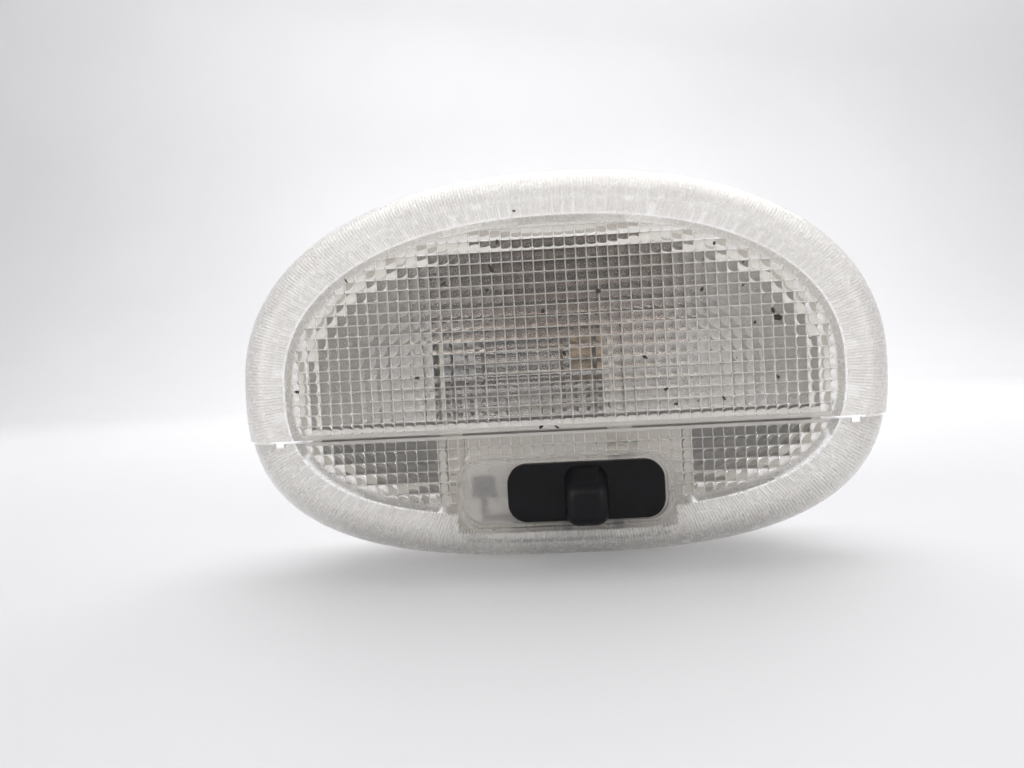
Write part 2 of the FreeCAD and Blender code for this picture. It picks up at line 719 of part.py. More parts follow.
def bulb_lead_wires():
    start = FILAMENT_LENGTH / 2
    length = BULB_GLASS_LENGTH / 2 + CAP_FIT - start
    wires = []
    for side in (-1, 1):
        x = BULB_X + side * start
        wires.append(rod(LEAD_DIAMETER, x, BULB_Y, BULB_Z, Vector(side, 0, 0), length))
    return Part.makeCompound(wires)


def housing():
    tray = prism(HOUSING_INSET, HOUSING_FRONT, HOUSING_BACK)
    tray = tray.cut(prism(ROOM_INSET, HOUSING_FRONT - HOUSING_WALL, ROOM_BACK))
    bay = box(-BAY_HALF, BAY_HALF, HOUSING_FRONT, PLATE_BACK, BAY_BOTTOM, BAY_TOP)
    room = box(
        -BAY_ROOM_HALF, BAY_ROOM_HALF, HOUSING_FRONT - BAY_WALL, 0, BAY_ROOM_BOTTOM, BAY_TOP + BAY_WALL
    )
    body = tray.fuse(bay).cut(room)
    bosses = []
    boss_height = HOUSING_BACK - REFLECTOR_BACK
    for x, z in reflector_rivet_places():
        bosses.append(rod(BOSS_DIAMETER, x, REFLECTOR_BACK, z, Vector(0, 1, 0), boss_height))
    lugs = []
    lug_back = LUG_FRONT + LUG_THICK
    lug_ring = ring(HOUSING_INSET - LUG_DROP, LUG_DROP + HOUSING_WALL, LUG_FRONT, lug_back)
    for side in (-1, 1):
        x0 = side * LUG_X - LUG_WIDTH / 2
        lug = box(x0, x0 + LUG_WIDTH, LUG_FRONT, lug_back, -FACE_BELOW, 0)
        lugs.append(lug.common(lug_ring))
    body = body.fuse(bosses + lugs)
    nose_front = HOOK_BACK - HOOK_NOSE_LENGTH - HOOK_PLAY
    nose = ring(HOUSING_INSET, HOUSING_WALL, nose_front, HOOK_BACK + HOOK_PLAY)
    for zone in hook_zone(HOOK_PLAY):
        body = body.cut(nose.common(zone))
    for x in (-PIN_SPACING, 0, PIN_SPACING):
        half_x = PIN_WIDTH / 2 + PIN_PLAY
        half_z = STRIP / 2 + PIN_PLAY
        slit = box(
            x - half_x, x + half_x, -STRIP, PLATE_BACK + STRIP, PIN_Z - half_z, PIN_Z + half_z
        )
        body = body.cut(slit)
    for x, z in contact_rivet_places():
        hole = CONTACT_RIVET_SHANK + 2 * RIVET_PLAY
        body = body.cut(rod(hole, x, -STRIP, z, Vector(0, 1, 0), PLATE_BACK + 2 * STRIP))
    shank = RIVET_SHANK + 2 * RIVET_PLAY
    for x, z in reflector_rivet_places():
        length = HOUSING_BACK - REFLECTOR_BACK + 2 * SHEET
        body = body.cut(rod(shank, x, REFLECTOR_BACK - SHEET, z, Vector(0, 1, 0), length))
    x, z = roof_rivet_place()
    body = body.cut(rod(shank, x, ROOM_BACK - SHEET, z, Vector(0, 1, 0), HOUSING_WALL + 2 * SHEET))
    peg_hole = SHROUD_PEG + 2 * SHROUD_PEG_FIT
    for side in (-1, 1):
        x = side * peg_x()
        body = body.cut(rod(peg_hole, x, -STRIP, PIN_Z, Vector(0, 1, 0), PLATE_BACK + 2 * STRIP))
    return body.removeSplitter()


def peg_x():
    return SHROUD_HALF_X + SHROUD_WALL + SHROUD_FLANGE / 2


def connector_shroud():
    """Plug inlet: a rectangular collar round the three blades, on a flange with two pegs."""
    outer_x = SHROUD_HALF_X + SHROUD_WALL
    outer_z = SHROUD_HALF_Z + SHROUD_WALL
    shroud = box(-outer_x, outer_x, PLATE_BACK, SHROUD_BACK, PIN_Z - outer_z, PIN_Z + outer_z)
    mouth = box(
        -SHROUD_HALF_X, SHROUD_HALF_X, PLATE_BACK + SHROUD_BASE, SHROUD_BACK + SHROUD_BASE,
        PIN_Z - SHROUD_HALF_Z, PIN_Z + SHROUD_HALF_Z,
    )
    half = outer_x + SHROUD_FLANGE
    flange_z = SHROUD_PEG
    flange = box(-half, half, PLATE_BACK, PLATE_BACK + SHROUD_BASE, PIN_Z - flange_z, PIN_Z + flange_z)
    pegs = [rod(SHROUD_PEG, side * peg_x(), 0, PIN_Z, Vector(0, 1, 0), PLATE_BACK) for side in (-1, 1)]
    shroud = shroud.fuse([flange] + pegs).cut(mouth)
    for x in (-PIN_SPACING, 0, PIN_SPACING):
        half_x = PIN_WIDTH / 2 + PIN_PLAY
        half_z = STRIP / 2 + PIN_PLAY
        blade = box(x - half_x, x + half_x, 0, PLATE_BACK + 2 * SHROUD_BASE, PIN_Z - half_z, PIN_Z + half_z)
        shroud = shroud.cut(blade)
    return shroud.removeSplitter()


def roof_rivet_place():
    return 0, FACE_ABOVE - HOUSING_INSET - ROOF_SPRING_LEG / 2


def retaining_spring():
    """A spring leaf riveted to the back, folded over the top edge and bowed out to grip the roof panel."""
    top = FACE_ABOVE - HOUSING_INSET
    path = [
        (HOUSING_BACK, top - ROOF_SPRING_LEG),
        (HOUSING_BACK, top),
        (ROOF_SPRING_HEEL, top),
        (ROOF_SPRING_PEAK, top + ROOF_SPRING_BULGE),
        (ROOF_SPRING_END, top + ROOF_SPRING_BULGE / 3),
    ]
    leaf = bent_strip(path[::-1], STRIP, ROOF_SPRING_WIDTH, "x")
    leaf.translate(Vector(-ROOF_SPRING_WIDTH / 2, 0, 0))
    finger = ROOF_SPRING_WIDTH / 3
    for side in (-1, 1):
        x = side * finger / 2
        half = ROOF_SPRING_SLIT / 2
        leaf = leaf.cut(box(x - half, x + half, 0, ROOF_SPRING_HEEL, top - STRIP, FACE_ABOVE))
    x, z = roof_rivet_place()
    hole = rod(RIVET_SHANK + 2 * RIVET_PLAY, x, HOUSING_BACK - STRIP, z, Vector(0, 1, 0), 3 * STRIP)
    return leaf.cut(hole).removeSplitter()


def spring_rivet():
    x, z = roof_rivet_place()
    return rivet(x, HOUSING_BACK + STRIP, z, -1, RIVET_HEAD, RIVET_SHANK, STRIP + RIVET_GRIP)


os.makedirs("parts", exist_ok=True)
PIECES = {
    "upper_lens": upper_lens(),
    "lower_lens": lower_lens(),
    "housing": housing(),
    "reflector": reflector(),
    "reflector_rivets": reflector_rivets(),
    "bulb_glass": bulb_glass(),
    "bulb_cap_left": bulb_cap(-1),
    "bulb_cap_right": bulb_cap(1),
    "bulb_filament": bulb_filament(),
    "bulb_lead_wires": bulb_lead_wires(),
    "switch_slider": switch_slider(),
    "slider_contact": slider_contact(),
    "common_strip": common_strip(),
    "supply_strip": supply_strip(),
    "earth_strip": earth_strip(),
    "door_strip": door_strip(),
    "contact_rivets": contact_rivets(),
    "connector_shroud": connector_shroud(),
    "retaining_spring": retaining_spring(),
    "spring_rivet": spring_rivet(),
}
for name, shape in PIECES.items():
    shape.exportStep("parts/" + name + ".step")
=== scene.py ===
# %% [markdown]
# # Dressing a car's interior light
# The CAD model comes in as a fixed frame: every node is in metres and already in its place.
# This lesson keeps the nodes whose shape is right and gives them finishes. The pieces whose looks
# carry the picture are modelled again: the two clear lenses, the switch slider and the filament.
# The reflector gains an edge, and specks of dirt are laid on the face.

# %% Load the frame
import math
import bmesh
import bpy
from mathutils import Matrix, Vector


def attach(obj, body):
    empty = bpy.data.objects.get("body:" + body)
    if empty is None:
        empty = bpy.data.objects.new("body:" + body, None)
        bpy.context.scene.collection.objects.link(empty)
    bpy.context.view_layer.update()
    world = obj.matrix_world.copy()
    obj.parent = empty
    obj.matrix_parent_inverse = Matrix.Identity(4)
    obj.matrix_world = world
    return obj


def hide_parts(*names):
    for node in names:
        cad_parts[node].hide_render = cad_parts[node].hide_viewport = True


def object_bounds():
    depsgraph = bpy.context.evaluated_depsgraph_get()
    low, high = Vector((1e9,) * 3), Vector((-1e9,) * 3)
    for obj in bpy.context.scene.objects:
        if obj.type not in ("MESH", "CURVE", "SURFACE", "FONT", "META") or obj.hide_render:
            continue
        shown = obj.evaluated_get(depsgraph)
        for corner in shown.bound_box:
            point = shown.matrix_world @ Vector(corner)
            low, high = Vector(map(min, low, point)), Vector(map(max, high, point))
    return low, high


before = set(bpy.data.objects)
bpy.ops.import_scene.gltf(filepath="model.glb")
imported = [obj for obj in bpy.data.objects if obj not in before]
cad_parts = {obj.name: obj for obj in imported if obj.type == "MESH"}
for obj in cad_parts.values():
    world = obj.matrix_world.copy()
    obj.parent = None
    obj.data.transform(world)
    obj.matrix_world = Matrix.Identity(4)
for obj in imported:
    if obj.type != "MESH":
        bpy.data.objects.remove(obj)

cad_box = [list(corner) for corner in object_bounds()]
scene = bpy.context.scene
scene.view_settings.view_transform = "Standard"
MM = 0.001
SIDES = (-1, 1)
print("nodes:", len(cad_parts), "box:", cad_box)

# %% [markdown]
# ## The camera
# The light is seen nearly face on, from close by and about level with its middle. A short lens at
# that distance gives the same spread between the near knob and the rim behind it. The camera is
# rolled by three degrees, because the light leans that much in the frame. The focal length is held
# in pixels, so that what is seen at a pixel of the frame can be put on the face later.

# %% Camera
SENSOR_WIDTH = 36.0
FRAME_WIDTH = 1024
FRAME_HEIGHT = 768
FOCAL_PIXELS = 900
EYE = Vector((0.0, -185.8, 4.0)) * MM
AIM = Vector((-9.54, -9.0, -0.62)) * MM
LEAN = math.radians(-2.93)
camera_data = bpy.data.cameras.new("camera")
camera_data.sensor_width = SENSOR_WIDTH
camera_data.lens = SENSOR_WIDTH * FOCAL_PIXELS / FRAME_WIDTH
camera_data.clip_start = 0.01
camera = bpy.data.objects.new("camera", camera_data)
scene.collection.objects.link(camera)
looking = (AIM - EYE).to_track_quat("-Z", "Y").to_matrix().to_4x4()
camera.matrix_world = Matrix.Translation(EYE) @ looking @ Matrix.Rotation(LEAN, 4, "Z")
scene.camera = camera
print("camera at", [round(v, 3) for v in camera.matrix_world.translation])

# %% [markdown]
# ## Handling pieces
# A few habits are wrapped up here: start from nothing selected, go in and out of edit mode, join
# or cut one closed solid by another, and leave every piece at the origin with its place in its mesh.
# Sizes are given in millimetres. The limits are planes well outside the light.

# %% Helpers for pieces
SIDE_LIMIT = 70.0
DEPTH_LIMIT = 20.0
HEIGHT_LIMIT = 60.0


def nothing_selected():
    if bpy.context.object and bpy.context.object.mode != "OBJECT":
        bpy.ops.object.mode_set(mode="OBJECT")
    bpy.ops.object.select_all(action="DESELECT")


def only(piece):
    """Selects one piece and makes it the active one."""
    nothing_selected()
    piece.select_set(True)
    bpy.context.view_layer.objects.active = piece


def named(name):
    """The piece that was just made, under its name."""
    piece = bpy.context.object
    piece.name = name
    piece.data.name = name
    return piece


def settle(piece):
    """Moves a piece's place, turn and scale into its mesh."""
    only(piece)
    bpy.ops.object.transform_apply(location=True, rotation=True, scale=True)


def block(name, x0, x1, y0, y1, z0, z1):
    """A closed box between the given planes."""
    nothing_selected()
    centre = ((x0 + x1) / 2 * MM, (y0 + y1) / 2 * MM, (z0 + z1) / 2 * MM)
    bpy.ops.mesh.primitive_cube_add(size=1.0, location=centre)
    piece = named(name)
    piece.scale = ((x1 - x0) * MM, (y1 - y0) * MM, (z1 - z0) * MM)
    settle(piece)
    return piece


def layer(name, z0, z1):
    """A block wider and deeper than the light, between two heights."""
    return block(name, -SIDE_LIMIT, SIDE_LIMIT, -DEPTH_LIMIT, DEPTH_LIMIT, z0, z1)


def pick_edges(piece, wanted):
    """Opens a piece for editing, with only the wanted edges selected."""
    only(piece)
    bpy.ops.object.mode_set(mode="EDIT")
    bpy.ops.mesh.select_mode(type="EDGE")
    bpy.ops.mesh.select_all(action="DESELECT")
    edit = bmesh.from_edit_mesh(piece.data)
    for edge in edit.edges:
        edge.select_set(wanted(edge))
    bmesh.update_edit_mesh(piece.data)


def runs_back(edge):
    """True for an edge that runs mainly from front to back."""
    run = edge.verts[1].co - edge.verts[0].co
    return abs(run.y) > abs(run.x) + abs(run.z)


def rounded_slab(name, x, z, half_x, half_z, corner, y0, y1):
    """A slab whose four corner edges, seen from the front, are rounded."""
    piece = block(name, x - half_x, x + half_x, y0, y1, z - half_z, z + half_z)
    pick_edges(piece, runs_back)
    bpy.ops.mesh.bevel(offset=corner * MM, segments=12, affect="EDGES")
    bpy.ops.object.mode_set(mode="OBJECT")
    return piece


def combine(piece, tool, operation):
    """Joins a closed solid to a piece, takes it away or keeps what they share, and drops the tool."""
    only(piece)
    joint = piece.modifiers.new("combine", "BOOLEAN")
    joint.operation = operation
    joint.solver = "MANIFOLD"
    joint.object = tool
    bpy.ops.object.modifier_apply(modifier=joint.name)
    bpy.data.objects.remove(tool)


def ease_edges(piece, width, segments):
    """Rounds every sharp edge of a piece by a small width."""
    only(piece)
    edges = piece.modifiers.new("edges", "BEVEL")
    edges.width = width * MM
    edges.segments = segments
    edges.limit_method = "ANGLE"
    edges.angle_limit = math.radians(40)
    bpy.ops.object.modifier_apply(modifier=edges.name)


def smooth(piece, degrees):
    only(piece)
    bpy.ops.object.shade_smooth_by_angle(angle=math.radians(degrees))


def count(piece):
    """How many triangles a piece's mesh comes to."""
    return sum(len(p.vertices) - 2 for p in piece.data.polygons)


print("limits:", SIDE_LIMIT, DEPTH_LIMIT, HEIGHT_LIMIT, "mm")

# %% [markdown]
# ## The oval
# Both lenses follow one oval whose upper and lower halves have their own height and squareness.
# Its points are spread evenly along the edge, so that the fine ribs inside the border keep their
# pitch all the way round. Four points make one rib.

# %% Oval outline
HALF_WIDTH = 65.0
ABOVE = 41.8
BELOW = 36.3
SQUARE_ABOVE = 2.25
SQUARE_BELOW = 2.8
RIBS = 500
RIB_POINTS = 4
COLUMNS = RIBS * RIB_POINTS
BORDER_MIDDLE = 5.0
FINE_STEPS = 20000


def on_oval(turn, inset):
    """The point of the oval, drawn in by an inset, at a turn round its middle."""
    upper = math.sin(turn) >= 0
    power = 2 / (SQUARE_ABOVE if upper else SQUARE_BELOW)
    height = (ABOVE if upper else BELOW) - inset
    x = (HALF_WIDTH - inset) * math.copysign(abs(math.cos(turn)) ** power, math.cos(turn))
    z = height * math.copysign(abs(math.sin(turn)) ** power, math.sin(turn))
    return x, z


def in_oval(x, z, inset):
    square = SQUARE_ABOVE if z >= 0 else SQUARE_BELOW
    height = (ABOVE if z >= 0 else BELOW) - inset
    return abs(x / (HALF_WIDTH - inset)) ** square + abs(z / height) ** square < 1


def even_turns():
    """The turns whose points lie evenly along the middle of the border."""
    fine = [2 * math.pi * i / FINE_STEPS for i in range(FINE_STEPS + 1)]
    spots = [on_oval(turn, BORDER_MIDDLE) for turn in fine]
    along = [0.0]
    for a, b in zip(spots, spots[1:]):
        along.append(along[-1] + math.dist(a, b))
    turns = []
    i = 0
    for column in range(COLUMNS):
        want = along[-1] * column / COLUMNS
        while along[i + 1] < want:
            i += 1
        part = (want - along[i]) / (along[i + 1] - along[i])
        turns.append(fine[i] + part * (fine[i + 1] - fine[i]))
    return turns


TURNS = even_turns()
print("columns round the oval:", len(TURNS))

# %% [markdown]
# ## The moulded shell of a lens
# Seen in section, the moulding runs from the flat front, round the edge to the rim and back along
# the inside of the wall. The section is listed as (inset from the oval, depth, and how far a rib
# sinks and lifts it), and a circle is extruded through it ring by ring.
# The ribs lie on the inner side only, so the outside stays smooth, as on the real moulding.
# The lower shell is a step smaller than the upper one, and its ribs are a little deeper.

# %% Section of the shell
FRONT = -9.0
EDGE_ROUND = 7.0
ROUND_BACK = FRONT + EDGE_ROUND
ARC_STEPS = 8
WINDOW = 11.4
WALL = 2.2
INNER = FRONT + WALL
SKIRT = 9.6
SKIRT_WALL = 1.4
SKIRT_BACK = 2.0
RIB_WAVE = (0.0, 0.7, 1.0, 0.7)
RIB_FADE = 0.4
UPPER_RIB = 0.12
LOWER_RIB = 0.18
LOWER_STEP = 0.5


def section(rib, step):
    """The lens's section from the window's edge on the front to the skirt on the inner face."""
    rings = [(WINDOW, FRONT, 0, 0)]
    for part in range(ARC_STEPS + 1):
        turn = math.pi / 2 * (1 - part / ARC_STEPS)
        inset = EDGE_ROUND * (1 - math.cos(turn))
        rings.append((inset, ROUND_BACK - EDGE_ROUND * math.sin(turn), 0, 0))
    rings.append((0.0, 0.0, 0, 0))
    rings.append((WALL, 0.0, 0, 0))
    rings.append((WALL, ROUND_BACK, rib, 0))
    inner = EDGE_ROUND - WALL
    for part in range(1, ARC_STEPS + 1):
        turn = math.pi / 2 * part / ARC_STEPS
        rings.append((EDGE_ROUND - inner * math.cos(turn), ROUND_BACK - inner * math.sin(turn),
                      rib * math.cos(turn), rib * math.sin(turn)))
    rings.append((SKIRT - RIB_FADE - step, INNER, 0, rib))
    rings.append((SKIRT - step, INNER, 0, 0))
    return [(inset + step, y, sink, lift) for inset, y, sink, lift in rings]


def ring_points(inset, y, sink, lift):
    points = []
    for column, turn in enumerate(TURNS):
        wave = RIB_WAVE[column % RIB_POINTS]
        x, z = on_oval(turn, inset + sink * wave)
        points.append(Vector((x, y + lift * wave, z)) * MM)
    return points


def spot_key(point):
    """A point's place, rounded so that it can be looked up."""
    return tuple(round(c, 8) for c in point)


def extruded_rings(name, rings, closed):
    """A circle taken through a list of rings; filled at both ends, or closed into a loop."""
    nothing_selected()
    fill = "NOTHING" if closed else "NGON"
    bpy.ops.mesh.primitive_circle_add(vertices=COLUMNS, radius=1.0, fill_type=fill)
    piece = named(name)
    before = ring_points(*rings[0])
    for vertex, point in zip(piece.data.vertices, before):
        vertex.co = point
    bpy.ops.object.mode_set(mode="EDIT")
    bpy.ops.mesh.select_mode(type="EDGE")
    bpy.ops.mesh.select_all(action="SELECT")
    for ring in rings[1:]:
        bpy.ops.mesh.extrude_edges_move()
        after = ring_points(*ring)
        place = {spot_key(old): new for old, new in zip(before, after)}
        edit = bmesh.from_edit_mesh(piece.data)
        for vertex in edit.verts:
            if vertex.select:
                vertex.co = place[spot_key(vertex.co)]
        bmesh.update_edit_mesh(piece.data)
        before = after
    if closed:
        bpy.ops.mesh.select_all(action="SELECT")
        bpy.ops.mesh.remove_doubles(threshold=1e-7)
    else:
        bpy.ops.mesh.edge_face_add()
    bpy.ops.mesh.select_all(action="SELECT")
    bpy.ops.mesh.normals_make_consistent(inside=False)
    bpy.ops.object.mode_set(mode="OBJECT")
    return piece


def plain_loop(name, profile):
    """A closed loop round the oval, from a profile of insets and depths and without ribs."""
    return extruded_rings(name, [(inset, y, 0, 0) for inset, y in profile], True)


def band(name, outer, inner, y0, y1):
    """A flat band round the oval, between two insets and two depths."""
    return plain_loop(name, [(outer, y0), (outer, y1), (inner, y1), (inner, y0), (outer, y0)])


def oval_slab(name, inset, y0, y1):
    """The whole oval, drawn in by an inset, between two depths."""
    return extruded_rings(name, [(inset, y0, 0, 0), (inset, y1, 0, 0)], False)


upper_shell = extruded_rings("upper_shell", section(UPPER_RIB, 0.0), False)
lower_shell = extruded_rings("lower_shell", section(LOWER_RIB, LOWER_STEP), False)
print("shell faces:", len(upper_shell.data.polygons), len(lower_shell.data.polygons))

# %% [markdown]
# ## The lenslet grid
# The inner face of each lens is a grid of small pillows that spread the bulb's light. One pillow
# is a grid primitive raised into a shallow dome, with a narrow land along its edges. Two array
# modifiers make the field, and the cells that lie wholly outside the window are deleted. The edge
# is then drawn down and closed, and the solid is trimmed by the window's oval, so the outermost
# pillows are cut as on the moulding.

# %% Lenslet field
CELL_X = 2.1
CELL_Z = 2.2
DOME = 1.5
PILLOW_LINES = (-0.5, -0.445, -0.16, 0.16, 0.445, 0.5)
PILLOW_FACES = len(PILLOW_LINES) - 1
GRID_COLUMNS = 54
GRID_INSET = 11.05
GRID_SINK = 0.4
MERGE = 1e-6
UPPER_COUNT = 18
LOWER_COUNT = 8
UPPER_ROWS = -9.5
LOWER_ROWS = -10.8 - LOWER_COUNT * CELL_Z
RECESS_HALF = 20.25
RECESS_Z = -22.5
RECESS_TALL = 6.05
TUB_WALL = 1.7
TUB_BACK = -4.1


def pillow(name, z0):
    """The first pillow of a field, in its lowest left-hand cell."""
    nothing_selected()
    bpy.ops.mesh.primitive_grid_add(
        x_subdivisions=PILLOW_FACES, y_subdivisions=PILLOW_FACES, size=1.0)
    piece = named(name)
    corner = (CELL_X ** 2 + CELL_Z ** 2) / 4
    for vertex in piece.data.vertices:
        a = PILLOW_LINES[round((vertex.co.x + 0.5) * PILLOW_FACES)] * CELL_X
        b = PILLOW_LINES[round((vertex.co.y + 0.5) * PILLOW_FACES)] * CELL_Z
        x = (0.5 - GRID_COLUMNS / 2) * CELL_X + a
        y = INNER + (corner - a * a - b * b) / (2 * DOME)
        vertex.co = Vector((x, y, z0 + CELL_Z / 2 + b)) * MM
    return piece


def lenslet_field(name, z0, rows, keep):
    """Rows of pillows from a height up, in the cells that touch the window and the kept part."""
    piece = pillow(name, z0)
    for number, offset in ((GRID_COLUMNS, (CELL_X * MM, 0, 0)), (rows, (0, 0, CELL_Z * MM))):
        field = piece.modifiers.new("field", "ARRAY")
        field.count = number
        field.use_relative_offset = False
        field.use_constant_offset = True
        field.constant_offset_displace = offset
        field.use_merge_vertices = True
        field.merge_threshold = MERGE
        only(piece)
        bpy.ops.object.modifier_apply(modifier=field.name)
    bpy.ops.object.mode_set(mode="EDIT")
    bpy.ops.mesh.select_mode(type="FACE")
    bpy.ops.mesh.select_all(action="SELECT")
    bpy.ops.mesh.remove_doubles(threshold=MERGE)
    bpy.ops.mesh.select_all(action="DESELECT")
    edit = bmesh.from_edit_mesh(piece.data)
    for face in edit.faces:
        middle = face.calc_center_median() / MM
        x = math.floor(middle.x / CELL_X) * CELL_X
        z = z0 + math.floor((middle.z - z0) / CELL_Z) * CELL_Z
        corners = [(x + i * CELL_X, z + j * CELL_Z) for i in (0, 1) for j in (0, 1)]
        seen = any(in_oval(u, v, GRID_INSET) for u, v in corners)
        face.select_set(not (seen and any(keep(u, v) for u, v in corners)))
    bmesh.update_edit_mesh(piece.data)
    bpy.ops.mesh.delete(type="FACE")
    bpy.ops.mesh.select_mode(type="EDGE")
    bpy.ops.mesh.select_all(action="DESELECT")
    bpy.ops.mesh.select_non_manifold()
    bpy.ops.mesh.extrude_edges_move()
    edit = bmesh.from_edit_mesh(piece.data)
    for vertex in edit.verts:
        if vertex.select:
            vertex.co.y = (INNER - GRID_SINK) * MM
    bmesh.update_edit_mesh(piece.data)
    bpy.ops.mesh.select_all(action="SELECT")
    bpy.ops.mesh.fill_holes(sides=0)
    bpy.ops.mesh.select_all(action="SELECT")
    bpy.ops.mesh.normals_make_consistent(inside=False)
    bpy.ops.object.mode_set(mode="OBJECT")
    combine(piece, oval_slab("window", GRID_INSET, FRONT, 0), "INTERSECT")
    return piece


def anywhere(x, z):
    return True


def clear_of_tub(x, z):
    return abs(x) > RECESS_HALF + TUB_WALL or z > RECESS_Z + RECESS_TALL + TUB_WALL


upper_grid = lenslet_field("upper_grid", UPPER_ROWS, UPPER_COUNT, anywhere)
lower_grid = lenslet_field("lower_grid", LOWER_ROWS, LOWER_COUNT, clear_of_tub)
print("lenslet triangles:", count(upper_grid), count(lower_grid))

# %% [markdown]
# ## The upper lens
# The shell is cut off at the split. Then the skirt that slips over the housing, the lenslet field,
# the wall along the split and the two hooks at the top are joined on.

# %% Upper lens
SPLIT_ABOVE = -9.9
SPLIT_BELOW = -10.4
SPLIT_WALL = 0.8
SPLIT_WALL_INSET = SKIRT + 0.5
SPLIT_WALL_BACK = -3.2
SINK = 0.3
HOOK_SINK = 0.2
HOOK_NOSE = 1.2
NOSE_FRONT = 5.0
HOOK_BACK = 6.5
HOOK_HALF = 4.0
TOP_HOOK_X = 18.5


def split_wall(name, z0, z1):
    """The wall behind the face, along the split."""
    wall = oval_slab(name, SPLIT_WALL_INSET, INNER - SINK, SPLIT_WALL_BACK)
    combine(wall, layer("slice", z0, z1), "INTERSECT")
    return wall


def skirt(name, z0, z1):
    """The wall behind the face that slips over the housing."""
    piece = band(name, SKIRT, SKIRT + SKIRT_WALL, INNER - SINK, SKIRT_BACK)
    combine(piece, layer("slice", z0, z1), "INTERSECT")
    return piece


def hooks(name, zones):
    """Hooks that carry the skirt on, with a nose that snaps behind the housing's edge."""
    inner = SKIRT + SKIRT_WALL
    nose = inner + HOOK_NOSE
    start = SKIRT_BACK - HOOK_SINK
    profile = [(SKIRT, start), (SKIRT, HOOK_BACK), (nose, HOOK_BACK), (nose, NOSE_FRONT),
               (inner, NOSE_FRONT), (inner, start), (SKIRT, start)]
    piece = plain_loop(name, profile)
    zone = block("zone", *zones[0])
    combine(zone, block("zone_too", *zones[1]), "UNION")
    combine(piece, zone, "INTERSECT")
    return piece


combine(upper_shell, layer("above_split", SPLIT_ABOVE, HEIGHT_LIMIT), "INTERSECT")
combine(upper_shell, skirt("upper_skirt", SPLIT_ABOVE, HEIGHT_LIMIT), "UNION")
combine(upper_shell, upper_grid, "UNION")
combine(upper_shell, split_wall("upper_wall", SPLIT_ABOVE, SPLIT_ABOVE + SPLIT_WALL), "UNION")
top_zones = [(side * TOP_HOOK_X - HOOK_HALF, side * TOP_HOOK_X + HOOK_HALF,
              0, DEPTH_LIMIT, 0, HEIGHT_LIMIT) for side in SIDES]
combine(upper_shell, hooks("upper_hooks", top_zones), "UNION")
upper_lens = upper_shell
upper_lens.name = "clear_upper_lens"
print("upper lens triangles:", count(upper_lens))

# %% [markdown]
# ## The lower lens
# The lower lens is built the same way, with its hooks at the sides. It carries the recess that the
# switch runs in: a clear tub behind the face, a raised lip round its mouth, a small ledge inside
# the lip and a slot in its floor for the slider's legs. Two slots at the split let a blade in.

# %% Lower lens
RECESS_CORNER = 4.1
FLOOR = -5.6
BAY_HALF = 25.7
SIDE_HOOK_X = 50.0
SIDE_HOOK_REACH = 20.0
SIDE_HOOK_Z = -16.5
TUB_SINK = 0.5
LIP_WIDE = 1.2
LIP_FRONT = FRONT - 0.4
LIP_SOFT = 0.35
LEDGE_WIDE = 0.5
LEDGE_DEEP = 1.2
LEG_SLOT_HALF = 10.55
LEG_SLOT_TALL = 2.1
LEG_SLOT_BACK = -2.0
PRY_X = 57.0
PRY_HALF = 1.2
PRY_TALL = 0.9
PRY_FRONT = -12.0
PRY_BACK = 3.0


def recess(name, grow, y0, y1):
    """The recess's rounded outline, grown by a width, between two depths."""
    return rounded_slab(name, 0, RECESS_Z, RECESS_HALF + grow, RECESS_TALL + grow,
                        RECESS_CORNER + grow, y0, y1)


combine(lower_shell, layer("below_split", -HEIGHT_LIMIT, SPLIT_BELOW), "INTERSECT")
lower_skirt = skirt("lower_skirt", -HEIGHT_LIMIT, SPLIT_BELOW)
bay = block("bay", -BAY_HALF, BAY_HALF, -DEPTH_LIMIT, DEPTH_LIMIT, -HEIGHT_LIMIT, 0)
combine(lower_skirt, bay, "DIFFERENCE")
combine(lower_shell, lower_skirt, "UNION")
combine(lower_shell, lower_grid, "UNION")
combine(lower_shell, split_wall("lower_wall", SPLIT_BELOW - SPLIT_WALL, SPLIT_BELOW), "UNION")
side_zones = [(side * SIDE_HOOK_X - SIDE_HOOK_REACH, side * SIDE_HOOK_X + SIDE_HOOK_REACH,
               0, DEPTH_LIMIT, SIDE_HOOK_Z - HOOK_HALF, SIDE_HOOK_Z + HOOK_HALF) for side in SIDES]
combine(lower_shell, hooks("lower_hooks", side_zones), "UNION")
combine(lower_shell, recess("tub", TUB_WALL, INNER - TUB_SINK, TUB_BACK), "UNION")
lip = recess("lip", LIP_WIDE, LIP_FRONT, INNER)
ease_edges(lip, LIP_SOFT, 4)
combine(lower_shell, lip, "UNION")
combine(lower_shell, recess("mouth", 0.0, -DEPTH_LIMIT, FLOOR), "DIFFERENCE")
combine(lower_shell, recess("ledge", LEDGE_WIDE, -DEPTH_LIMIT, LIP_FRONT + LEDGE_DEEP), "DIFFERENCE")
leg_slot = block("leg_slot", -LEG_SLOT_HALF, LEG_SLOT_HALF, FRONT, LEG_SLOT_BACK,
                 RECESS_Z - LEG_SLOT_TALL, RECESS_Z + LEG_SLOT_TALL)
combine(lower_shell, leg_slot, "DIFFERENCE")
for side in SIDES:
    pry_slot = block("pry_slot", side * PRY_X - PRY_HALF, side * PRY_X + PRY_HALF,
                     PRY_FRONT, PRY_BACK, SPLIT_BELOW - PRY_TALL, SPLIT_BELOW + 1)
    combine(lower_shell, pry_slot, "DIFFERENCE")
lower_lens = lower_shell
lower_lens.name = "clear_lower_lens"
print("lower lens triangles:", count(lower_lens))

# %% [markdown]
# ## The switch slider
# The slider is a black plate with rounded ends and a thumb knob that stands well proud of it.
# The knob starts as a block, its upper front edge is drawn down into a ramp, and its front edges
# get a wide bevel, so a soft highlight runs over its top as on the real one. Two legs with feet
# go through the slot in the recess floor.

